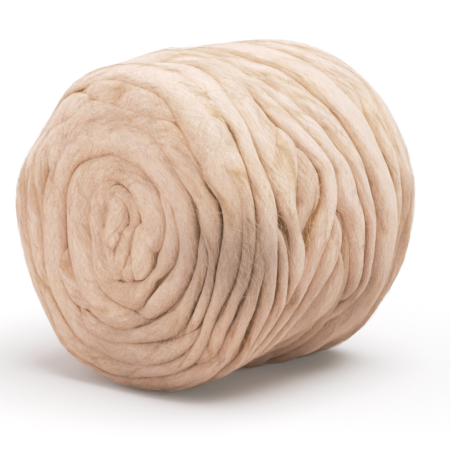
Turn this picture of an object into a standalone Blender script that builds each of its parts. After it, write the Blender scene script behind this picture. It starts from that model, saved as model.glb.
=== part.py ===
"""Roving ball: one big wound bump of soft, thick wool roving, lying on its side.

Metres, +Z up.  The ball's axis runs along Y, with the coiled end at -Y.  It rests at z = 0 on a
small flat spot, and the origin is under the middle of the ball.

Places on the ball are given by two numbers.  The angle, in degrees, turns about the axis from +X
(0) over the top (90).  The place, in millimetres, is measured along the ball's outline from the
middle of the -Y end, over the near rim (about 150) and the side, to the far rim (about 375) and
the middle of the +Y end (about 525).
"""
import math

import bpy
import numpy as np

# --- driving dimensions ---------------------------------------------------------------------
BALL_RADIUS = 0.150        # axis to the crown of the outer lays
BALL_LENGTH = 0.268        # end to end along the axis
SQUARENESS = 6.8           # how square the rims are: 2 would be an ellipsoid
FLAT_DEPTH = 0.004         # how far the ball has settled where it rests

LAY_WIDTH = 24.0           # mm, a plain lay of roving, pressed by its neighbours
SIDE_CROWN = 0.34          # the crown of a side lay over its edge, as a share of its width
END_CROWN = 0.27           # the same on the two ends, where the lays are packed flatter
TUCK_LENGTH = 50.0         # mm over which an end dives under its neighbours
TUCK_DEPTH = 9.0           # mm that such an end goes down
JOIN_ANGLE = 30.0          # degrees over which a lay takes its own width and lift from a join
CORE_DEPTH = 9.0           # mm from the crowns down to the wound core
CREASE_SHARPNESS = 1.3     # per mm: how sharply two lays meet
EDGE_SHARE = 0.97          # share of a lay's half width that is round; past it the edge is steep
FAR_TURNS = 7              # turns of the coil on the far end
FAR_COIL_PLACE = 400.0     # mm, where that coil starts, inside the far rim
FAR_COIL_LAP = 1.35        # width of its lays over their pitch
FAR_COIL_HEART = 8.0       # mm left open in its middle
FAR_COIL_SWAY = 2.5        # mm that its turns wander
ANGLE_STEP = 45            # degrees between the points that the coil runs through

ANGLE_STEPS = 360          # the fine grid that the lays are pressed into
PLACE_STEPS = 240
SLOPE_REACH = 0.002        # m each way over which the outline's slope is read
TRIANGLES = 11400          # what is kept of the grid
SETTLED = 0.0004           # m: points this near the ground are pressed flat onto it

# --- the lays that show --------------------------------------------------------------------
# Columns: lay, width (mm), lift (mm), which ends tuck under, then (angle, place) along it.
# Angles run past 360 where a lay goes on round the ball.  An end that doesn't tuck under is
# joined to the start of another lay, a whole turn away.
END_LAYS = (
    ("first_turn", 29, 0, "both", ((278, 42), (300, 35), (320, 32), (340, 31), (360, 35),
                                   (380, 40), (405, 46), (440, 55), (465, 60), (510, 58),
                                   (540, 52), (565, 55), (590, 66), (620, 75), (652, 82))),
    ("second_turn", 30, 0, "both", ((88, 43), (120, 38), (150, 31), (180, 28), (210, 31),
                                    (240, 45), (270, 53), (313, 62), (360, 69), (380, 75),
                                    (405, 78), (440, 79), (465, 84), (510, 82), (546, 83),
                                    (570, 82), (600, 90), (630, 93), (665, 91), (700, 92),
                                    (738, 98))),
    ("third_turn", 20, 0, "both", ((186, 91), (201, 95), (215, 102), (230, 105), (270, 109),
                                   (300, 110), (340, 103), (360, 107), (380, 105), (400, 102),
                                   (440, 99), (470, 98), (490, 94))),
    ("fourth_turn", 24, 0, "start", ((74, 103), (90, 104), (105, 110), (125, 112), (150, 101),
                                     (180, 107), (201, 113), (215, 123), (250, 124),
                                     (285, 124), (320, 123), (340, 121), (360, 124),
                                     (380, 126), (392, 128), (405, 134), (420, 138),
                                     (440, 146), (465, 150), (480, 145), (500, 135),
                                     (540, 128), (560, 131), (600, 140), (660, 138))),
    ("under_rim", 24, -1, "both", ((50, 114), (65, 117), (80, 121), (95, 124), (108, 130),
                                   (121, 136))),
    ("rim_fold", 17, 0, "end", ((-60, 138), (-40, 133), (-20, 134), (0, 140), (15, 143),
                                (30, 146))),
)
SIDE_LAYS = (
    ("side_01", 24, 0, "end", ((-165, 150), (-100, 160), (-60, 162), (-50, 157), (-40, 152),
                               (-30, 149), (-20, 147), (-10, 147), (0, 147))),
    ("side_02", 26, 1, "end", ((-60, 180), (-50, 175), (-40, 171), (-30, 168), (-20, 166),
                               (-10, 162), (0, 159), (20, 158), (30, 159), (40, 164),
                               (50, 167), (60, 170), (90, 171), (150, 160), (210, 152))),
    ("side_03", 17, 0, "both", ((-70, 190), (-50, 186), (-30, 181), (-20, 184), (-10, 179),
                                (0, 175), (16, 170))),
    ("side_04", 26, 0, "start", ((-26, 196), (-10, 196), (0, 194), (10, 187), (20, 183),
                                 (40, 180), (50, 186), (60, 195), (90, 198), (150, 186),
                                 (200, 176), (260, 176), (300, 180))),
    ("side_05", 34, -5, "both", ((-12, 208), (0, 208), (10, 213), (20, 215), (35, 207),
                                 (60, 207))),
    ("side_06", 31, 1, "none", ((-60, 194), (-50, 191), (-40, 194), (-30, 202), (-20, 209),
                                (-10, 217), (0, 225), (10, 240), (20, 252), (30, 241),
                                (40, 230), (50, 222), (60, 217), (90, 222), (150, 212),
                                (220, 200), (300, 194))),
    ("side_07", 26, -3, "end", ((-60, 214), (-40, 222), (-20, 234), (-10, 238), (6, 239))),
    ("side_08", 22, 0, "end", ((-60, 238), (-40, 252), (-30, 262), (-20, 261), (-10, 257),
                               (0, 252), (16, 251))),
    ("side_09", 32, 0, "both", ((-34, 288), (-20, 290), (-10, 286), (0, 280), (10, 270),
                                (20, 265), (30, 255), (50, 244))),
    ("side_10", 36, 1, "start", ((-18, 303), (0, 301), (10, 297), (20, 291), (30, 283),
                                 (40, 276), (50, 266), (60, 258), (75, 248), (90, 246),
                                 (150, 238), (220, 224), (300, 214))),
    ("side_11", 38, 2, "none", ((-60, 300), (-50, 305), (-40, 317), (-30, 328), (-20, 328),
                                (0, 326), (20, 320), (40, 311), (60, 297), (75, 285),
                                (90, 276), (150, 266), (220, 250), (300, 238))),
    ("side_12", 24, 0, "both", ((28, 332), (42, 332), (50, 331), (60, 328), (75, 320),
                                (90, 310), (150, 296), (220, 280), (296, 268))),
    ("side_13", 24, 0, "start", ((4, 345), (20, 343), (30, 341), (40, 346), (50, 352),
                                 (60, 350), (90, 338), (150, 324), (220, 308), (300, 300))),
    ("side_14", 25, 0, "both", ((-100, 330), (-60, 345), (-30, 358), (-10, 362), (10, 364),
                                (20, 361), (35, 366), (50, 374), (90, 364), (150, 350),
                                (220, 334), (266, 322))),
    ("side_15", 25, 0, "both", ((-130, 352), (-60, 370), (0, 386), (60, 394), (90, 388),
                                (150, 374), (236, 350))),
    ("back_cross_a", 26, 4, "both", ((112, 196), (150, 224), (190, 262), (222, 300))),
    ("back_cross_b", 25, 3, "both", ((128, 330), (170, 300), (205, 262), (236, 232))),
)
# What lies over the coil on the far end, with (angle, mm from that end's middle) along it.
FAR_OVER_LAYS = (
    ("far_over_a", 18, 2, "both", ((20, 12), (80, 26), (140, 38))),
    ("far_over_b", 21, 2, "both", ((180, 48), (250, 62), (320, 78))),
    ("far_over_c", 22, 2, "both", ((40, 88), (120, 98), (210, 118))),
)
# The crumpled start of the roving in the middle of the near end.
# Columns: fold, width, lift, from (x, z) to (x, z), all in mm from the axis.
CENTRE_FOLDS = (
    ("upper_fold", 25, 0, (-4, 20), (-5, -8)),
    ("thin_fold", 14, -1, (12, 4), (-1, -28)),
    ("lower_fold", 15, -2, (-16, -18), (-6, -34)),
    ("deep_fold", 70, -4, (-3, 6), (3, -12)),
)

# --- the ball's own unevenness -------------------------------------------------------------
# Columns: angle, place (mm), reach in angle, reach in place (mm), height (mm).
LUMPS = (
    (143, 142, 14, 20, -8),       # slumped shoulder of the near rim
    (172, 128, 18, 22, 4),
    (238, 138, 15, 20, 6),
    (-85, 140, 22, 18, 4),        # sag under the near rim
    (97, 182, 15, 17, -8),        # dip behind the near rim, on top
    (94, 212, 12, 12, 3),
    (-63, 230, 15, 34, -13),      # hollow between two lays low on the side
    (-46, 325, 16, 24, 5),
    (-18, 367, 24, 16, -13),      # slack far rim
    (8, 368, 16, 14, 3),
)

ROVING_COLOUR = (0.80, 0.66, 0.52, 1.0)


def clear_scene():
    """Remove the objects that the file opened with."""
    for thing in list(bpy.data.objects):
        bpy.data.objects.remove(thing, do_unlink=True)


def outline(count=3000):
    """The ball's outline from the near pole: place (m), radius and position along the axis."""
    turn = np.linspace(-math.pi / 2, math.pi / 2, count)
    power = 2 / SQUARENESS
    radius = BALL_RADIUS * np.abs(np.cos(turn)) ** power
    along = BALL_LENGTH / 2 * np.sign(np.sin(turn)) * np.abs(np.sin(turn)) ** power
    steps = np.hypot(np.diff(radius), np.diff(along))
    place = np.concatenate(([0.0], np.cumsum(steps)))
    return place, radius, along


def smooth_path(stations, angle):
    """Places along a lay at the given angles, on a smooth curve through its stations."""
    x, y = np.array(stations, float).T
    slope = np.gradient(y, x)
    k = np.clip(np.searchsorted(x, angle) - 1, 0, len(x) - 2)
    span = x[k + 1] - x[k]
    t = np.clip((angle - x[k]) / span, 0, 1)
    a = (1 + 2 * t) * (1 - t) ** 2
    b = t * (1 - t) ** 2
    c = t ** 2 * (3 - 2 * t)
    d = t ** 2 * (t - 1)
    return a * y[k] + b * span * slope[k] + c * y[k + 1] + d * span * slope[k + 1]


def crown(offset, width, depth):
    """How far a lay's rounded back has dropped at an offset from its middle line (mm)."""
    share = np.abs(offset) / (width / 2)
    round_part = 1 - np.sqrt(1 - np.clip(share, 0, EDGE_SHARE) ** 2)
    return depth * width * round_part + np.maximum(share - EDGE_SHARE, 0) * width


def merged(height, top):
    """The higher of two heights, with the crease between them slightly rounded."""
    return np.logaddexp(CREASE_SHARPNESS * height, CREASE_SHARPNESS * top) / CREASE_SHARPNESS


def press_lay(height, angle, place, lay, depth):
    """Lay one length of roving on the ball: the surface rises to its back where that is higher."""
    _, own_width, own_lift, tucks, stations = lay
    first, last = stations[0][0], stations[-1][0]
    for turn in range(math.floor(first / 360), math.ceil(last / 360) + 1):
        on = (angle + 360 * turn >= first) & (angle + 360 * turn <= last)
        at = (angle + 360 * turn)[on]
        middle = smooth_path(stations, at)
        degree = np.radians(1) * np.clip(middle, 12, BALL_RADIUS * 1000)
        dive = np.zeros(len(at))
        own = np.ones(len(at))
        for end, run in (("start", at - first), ("end", last - at)):
            if tucks in (end, "both"):
                dive = np.maximum(dive, 1 - run * degree / TUCK_LENGTH)
            else:
                own = np.minimum(own, run / JOIN_ANGLE)
        width = (LAY_WIDTH + (own_width - LAY_WIDTH) * own)[:, None]
        top = (own_lift * own - TUCK_DEPTH * np.maximum(dive, 0) ** 1.5)[:, None]
        lean = np.cos(np.arctan2(smooth_path(stations, at + 1) - middle, degree))
        offset = (place[None, :] - middle[:, None]) * lean[:, None]
        height[on] = merged(height[on], top - crown(offset, width, depth))


def press_fold(height, angle, place, fold):
    """Press one short fold into the flat middle of the near end."""
    _, width, lift, start, end = fold
    spot = np.stack((np.outer(np.cos(np.radians(angle)), place),
                     np.outer(np.sin(np.radians(angle)), place)), axis=-1)
    start, run = np.array(start, float), np.subtract(end, start)
    share = np.clip((spot - start) @ run / (run @ run), 0, 1)
    offset = np.linalg.norm(spot - start - share[..., None] * run, axis=-1)
    height[:] = merged(height, lift - crown(offset, width, END_CROWN))


def far_end_lays(length):
    """The coil on the far end, from near its middle out to the rim, and what lies over it."""
    pitch = (length - FAR_COIL_PLACE) / FAR_TURNS
    stations = []
    for step in range(FAR_TURNS * 360 // ANGLE_STEP + 1):
        angle = step * ANGLE_STEP
        turns = angle / 360
        sway = FAR_COIL_SWAY * math.sin(4.8 * turns)
        stations.append((angle, length - FAR_COIL_HEART - pitch * turns + sway))
    coil = ("far_coil", pitch * FAR_COIL_LAP, 0, "both", tuple(stations))
    over = []
    for lay, width, lift, tucks, radii in FAR_OVER_LAYS:
        over.append((lay, width, lift, tucks, tuple((at, length - r) for at, r in radii)))
    return (coil, *over)


def relief(angle, place, length):
    """Height of the wound surface over the plain barrel (mm), on the grid of angle and place."""
    height = np.full((len(angle), len(place)), -CORE_DEPTH)
    for lay in END_LAYS + far_end_lays(length):
        press_lay(height, angle, place, lay, END_CROWN)
    for lay in SIDE_LAYS:
        press_lay(height, angle, place, lay, SIDE_CROWN)
    for fold in CENTRE_FOLDS:
        press_fold(height, angle, place, fold)
    for lump_angle, lump_place, angle_reach, place_reach, rise in LUMPS:
        around = (angle - lump_angle + 180) % 360 - 180
        share = np.exp(-(around / angle_reach) ** 2)
        share = share[:, None] * np.exp(-((place - lump_place) / place_reach) ** 2)[None, :]
        height += rise * share
    return height


def wound_grid():
    """The ball's surface as rows of points, a row for each place between the poles."""
    arc, radius, along = outline()
    place = np.linspace(0, arc[-1], PLACE_STEPS + 2)[1:-1]
    angle = np.arange(ANGLE_STEPS) * 360 / ANGLE_STEPS
    height = relief(angle, place * 1000, arc[-1] * 1000) / 1000
    after = place + SLOPE_REACH
    before = place - SLOPE_REACH
    rise = np.interp(after, arc, radius) - np.interp(before, arc, radius)
    run = np.interp(after, arc, along) - np.interp(before, arc, along)
    size = np.hypot(rise, run)
    out = np.interp(place, arc, radius) + height * run / size
    forward = np.interp(place, arc, along) - height * rise / size
    turn = np.radians(angle)[:, None]
    x = out * np.cos(turn)
    z = out * np.sin(turn) + BALL_RADIUS - FLAT_DEPTH
    return np.stack((x, forward, np.maximum(z, 0.0)), axis=-1).transpose(1, 0, 2)


def wound_mesh(name):
    """A closed mesh over the wound grid, with a point at each pole."""
    rows = wound_grid()
    near = rows[0].mean(axis=0)
    far = rows[-1].mean(axis=0)
    points = [tuple(p) for p in rows.reshape(-1, 3)] + [tuple(near), tuple(far)]
    near_pole, far_pole = len(points) - 2, len(points) - 1
    faces = []
    for j in range(ANGLE_STEPS):
        k = (j + 1) % ANGLE_STEPS
        faces.append((near_pole, j, k))
        for i in range(PLACE_STEPS - 1):
            low, high = i * ANGLE_STEPS, (i + 1) * ANGLE_STEPS
            faces.append((low + j, high + j, high + k, low + k))
        last = (PLACE_STEPS - 1) * ANGLE_STEPS
        faces.append((last + k, last + j, far_pole))
    mesh = bpy.data.meshes.new(name)
    mesh.from_pydata(points, [], faces)
    return mesh


def thinned(ball):
    """Keep the faces that the form needs, and press the resting spot flat again."""
    modifier = ball.modifiers.new("Fewer faces", 'DECIMATE')
    modifier.ratio = TRIANGLES / (2 * ANGLE_STEPS * PLACE_STEPS)
    modifier.use_collapse_triangulate = True
    graph = bpy.context.evaluated_depsgraph_get()
    mesh = bpy.data.meshes.new_from_object(ball.evaluated_get(graph))
    ball.modifiers.clear()
    for vertex in mesh.vertices:
        if vertex.co.z < SETTLED:
            vertex.co.z = 0.0
    corner = np.array([v.co for v in mesh.vertices])
    middle = (corner.max(axis=0) + corner.min(axis=0)) / 2
    for vertex in mesh.vertices:
        vertex.co.x -= middle[0]
        vertex.co.y -= middle[1]
    return mesh


def roving_material():
    """Pale, matt, undyed wool."""
    material = bpy.data.materials.new("wool_roving")
    material.use_nodes = True
    shader = material.node_tree.nodes["Principled BSDF"]
    shader.inputs["Base Color"].default_value = ROVING_COLOUR
    shader.inputs["Roughness"].default_value = 0.95
    shader.inputs["Metallic"].default_value = 0.0
    return material


def roving_ball():
    """The whole ball as one solid."""
    ball = bpy.data.objects.new("roving_ball", wound_mesh("wound grid"))
    bpy.context.scene.collection.objects.link(ball)
    ball.data = thinned(ball)
    ball.data.name = "roving_ball"
    ball.data.materials.append(roving_material())
    ball.data.shade_smooth()
    return ball


clear_scene()
roving_ball()
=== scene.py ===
"""Looks of the roving ball: every lay of the wound wool as a soft strand of its own.

Metres, +Z up, except where a comment says millimetres.  Places on the ball are given by two
numbers.  The angle, in degrees, turns about the ball's axis (along Y) from +X over the top (90).
The place, in millimetres, is measured along the ball's outline from the middle of the -Y end,
over the near rim (about 150) and the side, to the far rim (about 375) and the middle of the +Y
end (about 525).
"""
import math
from collections import namedtuple

import bpy
import numpy as np
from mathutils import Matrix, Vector


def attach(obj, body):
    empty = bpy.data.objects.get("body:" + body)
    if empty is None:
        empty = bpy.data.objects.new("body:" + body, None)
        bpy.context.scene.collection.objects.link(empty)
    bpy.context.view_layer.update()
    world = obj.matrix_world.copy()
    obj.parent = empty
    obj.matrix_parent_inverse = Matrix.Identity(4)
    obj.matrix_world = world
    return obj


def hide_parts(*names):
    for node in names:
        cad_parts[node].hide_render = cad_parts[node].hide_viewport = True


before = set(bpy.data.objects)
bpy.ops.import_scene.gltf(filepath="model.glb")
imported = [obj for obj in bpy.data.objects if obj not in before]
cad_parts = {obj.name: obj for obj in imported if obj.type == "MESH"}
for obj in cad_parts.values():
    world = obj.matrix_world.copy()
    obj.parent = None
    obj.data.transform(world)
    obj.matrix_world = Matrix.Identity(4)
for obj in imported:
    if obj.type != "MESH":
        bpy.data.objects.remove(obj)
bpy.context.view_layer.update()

# --- the ball, as in the frame ---
BALL_RADIUS = 150.0  # mm, axis to the crown of the outer lays
BALL_LENGTH = 268.0  # mm, end to end along the axis
SQUARENESS = 6.8  # how square the rims are: 2 would be an ellipsoid
FLAT_DEPTH = 4.0  # mm that the ball has settled where it rests
MIDDLE = (-1.1, 1.0)  # mm, middle of the ball's box from its axis and its half length

# --- the roving ---
# The form of a lay: half its thickness as a share of its width, squareness of its section (2 is
# an oval), points of a ring on the outside, mm from one ring of points to the next.
Form = namedtuple("Form", "thickness squareness top_points step")
NEAR_FORM = Form(0.25, 2.5, 31, 2.0)
FOLD_FORM = Form(0.24, 2.3, 31, 1.2)
SIDE_FORM = Form(0.33, 2.3, 23, 2.0)
FAR_FORM = Form(0.27, 2.3, 19, 3.0)
# Half its thickness is at most that of a lay this wide (mm), and this share of its half width.
MOST_THICK = (20, 0.25)
NARROW_LAY = 10  # mm, half width below which folds and changes of the lap get smaller
UNDER_POINTS = 5  # points of a ring underneath
TOP_SPREAD = 205.0  # degrees of the ring that the outside takes
LAP = 3.3  # mm that a lay runs on under its neighbour, each side
FOLD_LAP = 1.7  # mm that a short fold runs on under its neighbour, each side
# How a lay changes along its length: how much, and over how many mm.
WIDTH_CHANGE = (0.05, 38)  # a share of its width
LAP_CHANGE = (1.7, 45)  # mm
RISE_CHANGE = (0.6, 60)  # mm that it rises and falls
SIDE_CHANGE = (0.8, 70)  # mm that it wanders sideways
LOOSE = (-30, 56)  # angle where the lays are rounder and looser, and its reach
LOOSE_ROUND = 1.0  # share of their thickness that they are thicker there
LOOSE_LAP = 3.1  # mm less that they lap
TIGHT = (98, 52)  # angle where they are pressed flat and close, and its reach
TIGHT_LAP = 1.3  # mm more that they lap there
NOT_TUCKED = ("side_e",)  # lays whose ends don't dive under their neighbours
TUCK_LENGTH = 34.0  # mm over which the other lays' ends do
TUCK_DEPTH = 6.0  # mm that such an end goes down
TAPER_LENGTH = 26.0  # mm over which an end narrows to nothing
FOLD_TUCK = (4, 12)  # mm that a short fold's end goes down, and over how many mm
FOLD_TAPER = 9  # mm over which it narrows
BLUNT = 0.003  # where a narrowing end stops, as a share of that length
LAY_POLE = 6  # mm, least radius that turns the width of a lay into an angle
TWIST = math.radians(13)  # how far the fibres lean from the way their lay runs
CROSS_TWIST = -1.6 * TWIST  # how far those that cross them do
# The lays underneath, which show where two lays part.
SKIN_DEPTH = 5.0  # mm from the crowns down to them
SKIN_FURROW = 5.0  # mm depth of the furrows between them
SKIN_PITCH = 21.0  # mm between those furrows
SKIN_STEP = 4.0  # degrees from one row of points to the next
SKIN_ROWS = 180  # points from the near end to the far end
SKIN_GIRTH = 2.6  # mm round the ball for a degree, for the run of the fibres
# How much painted crease shade they get, from crown (0) to flank (1): all over, more in a furrow,
# more for a mm of hollow, and at most.
SKIN_TINT = (0.26, 0.34, 0.05, 0.75)
# Where they lie deeper: angle, place, reach along in degrees, reach across in mm, depth in mm.
HOLLOWS = ((7, 213, 13, 12, 12.0), (5, 177, 10, 6, 7.0), (2, 250, 12, 8, 6.0))
HOLLOW_SMOOTH = 3  # mm of hollow over which the furrows fade away
# Soft folds along a lay.  Columns: height (mm), length and width of one (mm).
SOFT_FOLDS = ((0.31, 40, 6.5), (0.08, 18, 2.6))
GIRTH_RUN = 70  # rows over which the fibres even out a change of width
CREASE_DEPTH = 0.7  # mm, of the fine creases between the locks of a lay
CREASE_LENGTH = 60.0  # mm over which one wanders
CREASE_GAP = 6.0  # mm, about, from one to the next
CREASE_WIDTH = 0.28  # share of that gap that one takes
CREASE_FADE = (0.4, 1.6, 35, 15)  # their strength, its change, over how many mm along and across
# Fine creases and a strand's end get painted crease shade, darker and warmer, by these two values.
CREASE_TINT = 0.42  # how deep they look, on the scale from crown (0) to flank (1)
CAP_FLANK = 0.5  # and how deep the middle of a strand's end looks

# --- stray fibres ---
HAIRS = 5000  # in each of two pieces
HAIR_RINGS = 6  # rings of points along one
HAIR_LENGTH = (14.0, 48.0)  # mm, shortest and longest
HAIR_RISE = (1.6, 0.45)  # form and scale (mm) of the spread of how far they stand off
HAIR_LEAN = (1.5, 0.55)  # their lean, times the twist, and its spread in radians
HAIR_BEND = 1.3  # radians, the spread of how much they curve
HAIR_ARCH = 0.94  # share of half a wave that one makes as it rises and falls
HAIR_ROOT = 0.7  # mm that both ends go into the wool, about
HAIR_THICKNESS = 0.18  # mm
HAIR_TIP = (6, 0.05)  # thickness squared: how fast it grows from a tip, and its least
HAIR_POLE = 12  # mm, as LAY_POLE

# --- where the lays run ---
# Columns: lay, then (angle, near edge, far edge, lift) along it, in degrees and mm.  A lift of 0
# is left out.  Angles run past 360 where a lay goes on round the ball.
NEAR_END_LAYS = (
    ("first_turn", (
        (289, 28, 40, -1), (300, 24, 45), (314, 20, 46), (330, 16, 46), (343, 17, 44),
        (353, 19, 48), (367, 22, 54), (381, 26, 59), (393, 29, 60), (406, 31, 61), (418, 34, 62),
        (428, 38, 64), (440, 43, 65), (456, 48, 68), (468, 47, 69), (483, 44, 72), (498, 43, 73),
        (510, 39, 71), (525, 36, 67), (545, 35, 66), (562, 35, 69), (575, 39, 72), (586, 44, 77),
        (599, 54, 85), (616, 61, 88), (630, 66, 87), (643, 72, 85), (655, 79, 84, -2))),
    ("second_turn", (
        (85, 36, 48, -3), (98, 38, 50), (108, 34, 48), (123, 29, 44), (138, 24, 43), (150, 21, 40),
        (165, 20, 37), (180, 21, 35), (202, 23, 35), (215, 25, 39), (226, 30, 44), (239, 38, 54),
        (249, 43, 58), (259, 45, 62), (270, 45, 66), (283, 43, 71), (295, 44, 67), (304, 45, 63),
        (321, 46, 59), (330, 46, 62), (340, 44, 65), (353, 48, 68), (367, 54, 68), (381, 59, 66),
        (393, 60, 66), (404, 61, 65, -1), (414, 62, 64, -3))),
    ("third_turn", (
        (280, 70, 74, -4), (286, 70, 76, -1), (293, 67, 80), (304, 62, 81, 1), (316, 59, 83, 1),
        (326, 60, 85, 1), (338, 64, 86, 1), (350, 67, 88, 1), (362, 68, 88, 1), (376, 64, 90, 1),
        (384, 63, 91), (396, 61, 90), (412, 62, 91), (419, 62, 94), (428, 64, 97), (440, 64, 98),
        (456, 68, 97), (474, 70, 97), (489, 74, 97), (500, 74, 98), (510, 71, 98), (525, 67, 98),
        (547, 67, 99), (556, 70, 101), (566, 80, 105), (576, 88, 109), (584, 91, 111),
        (594, 93, 114), (606, 100, 119), (618, 102, 117), (638, 99, 118), (646, 100, 120),
        (657, 102, 122), (666, 106, 122), (676, 110, 121, -1), (688, 114, 120, -4))),
    ("under_third", (
        (228, 89, 93, -3), (236, 90, 97, -1), (246, 89, 101), (259, 88, 102), (270, 87, 100),
        (281, 85, 99), (292, 83, 101), (300, 81, 104), (308, 81, 106), (314, 83, 105),
        (322, 84, 102), (330, 85, 100), (340, 86, 100), (350, 88, 101), (360, 88, 98, -1),
        (368, 89, 96, -2), (376, 90, 94, -4))),
    ("right_lay", (
        (304, 103, 108, -4), (314, 105, 111, -1), (322, 102, 114), (330, 100, 113),
        (342, 100, 110, -1), (350, 101, 108, -1), (356, 100, 110, -1), (364, 96, 113),
        (372, 91, 116), (380, 92, 115), (386, 92, 111), (398, 89, 112), (410, 90, 115),
        (416, 91, 117), (422, 94, 116), (428, 97, 111), (434, 101, 109, -2), (440, 103, 107, -4))),
    ("left_mid", (
        (186, 68, 72, -3), (196, 69, 80, -1), (204, 70, 88), (216, 71, 90), (228, 73, 92),
        (240, 80, 91, -1), (250, 86, 90, -3))),
    ("thin_lay", (
        (76, 96, 99, -3), (94, 92, 97, -1), (108, 92, 98, -1), (118, 93, 100, -1),
        (126, 93, 99, -1), (134, 92, 101, -1), (144, 92, 105), (155, 91, 102, -2),
        (163, 92, 98, -4))),
    ("fourth_turn", (
        (44, 98, 112, -4), (60, 98, 112, -2), (70, 98, 110, -1), (82, 97, 107, -1),
        (90, 96, 108, -1), (100, 97, 113, -1), (108, 98, 117), (118, 99, 113), (125, 98, 112),
        (136, 100, 119), (144, 105, 121), (155, 101, 120), (165, 98, 117), (187, 98, 116),
        (196, 100, 117), (204, 103, 119), (212, 107, 122), (222, 110, 125), (234, 114, 130),
        (246, 119, 134), (258, 117, 136), (270, 117, 134), (280, 118, 130), (292, 121, 132),
        (300, 122, 134), (308, 122, 134), (314, 120, 131), (320, 118, 128), (326, 114, 125),
        (334, 112, 124), (342, 110, 127), (351, 108, 131), (360, 111, 134), (372, 116, 137),
        (380, 116, 139), (386, 113, 138), (392, 111, 139), (398, 111, 150), (404, 112, 154),
        (413, 117, 156), (420, 122, 156), (428, 128, 157), (436, 132, 158), (446, 135, 159),
        (460, 135, 159), (470, 137, 160), (480, 141, 163), (500, 145, 168), (540, 144, 168),
        (580, 146, 170), (620, 150, 172), (650, 150, 170))),
    ("under_rim", (
        (53, 116, 120, -4), (60, 117, 123, -2), (66, 112, 128, -1), (74, 109, 131, -1),
        (82, 107, 134, -1), (90, 108, 136, -1), (100, 114, 136, -1), (106, 120, 137, -1),
        (113, 127, 137, -2), (122, 133, 137, -4))),
    ("left_rim", (
        (102, 117, 121, -4), (112, 116, 126, -1), (118, 113, 131), (124, 113, 135),
        (130, 116, 138), (140, 121, 144), (150, 120, 144), (165, 117, 141), (187, 116, 139),
        (204, 119, 141), (222, 125, 146), (234, 130, 150), (246, 134, 156), (261, 137, 159),
        (276, 131, 156), (290, 131, 154), (300, 134, 156), (308, 139, 158), (316, 143, 160, -2),
        (326, 146, 160, -6))),
    ("rim_fold", (
        (-60, 134, 142, -3), (-50, 132, 141, -1), (-46, 130, 142), (-40, 127, 140),
        (-34, 124, 137), (-26, 125, 138), (-20, 126, 138), (-12, 130, 142, -1), (-5, 132, 143, -1),
        (2, 134, 145, -1), (10, 136, 146, -1), (18, 138, 148, -1), (24, 137, 149, -1),
        (28, 134, 150), (32, 131, 151), (38, 129, 153, -1), (46, 128, 154, -2),
        (56, 130, 155, -4))),
    ("rim_upper", (
        (38, 150, 154, -3), (44, 150, 157, -1), (48, 147, 158), (52, 143, 158, 0.6),
        (56, 140, 159, 0.8), (62, 137, 159, 0.8), (67, 135, 159, 0.8), (74, 133, 160, 0.5),
        (84, 133, 161), (100, 136, 162, -2), (112, 138, 161, -4))),
)
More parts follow.
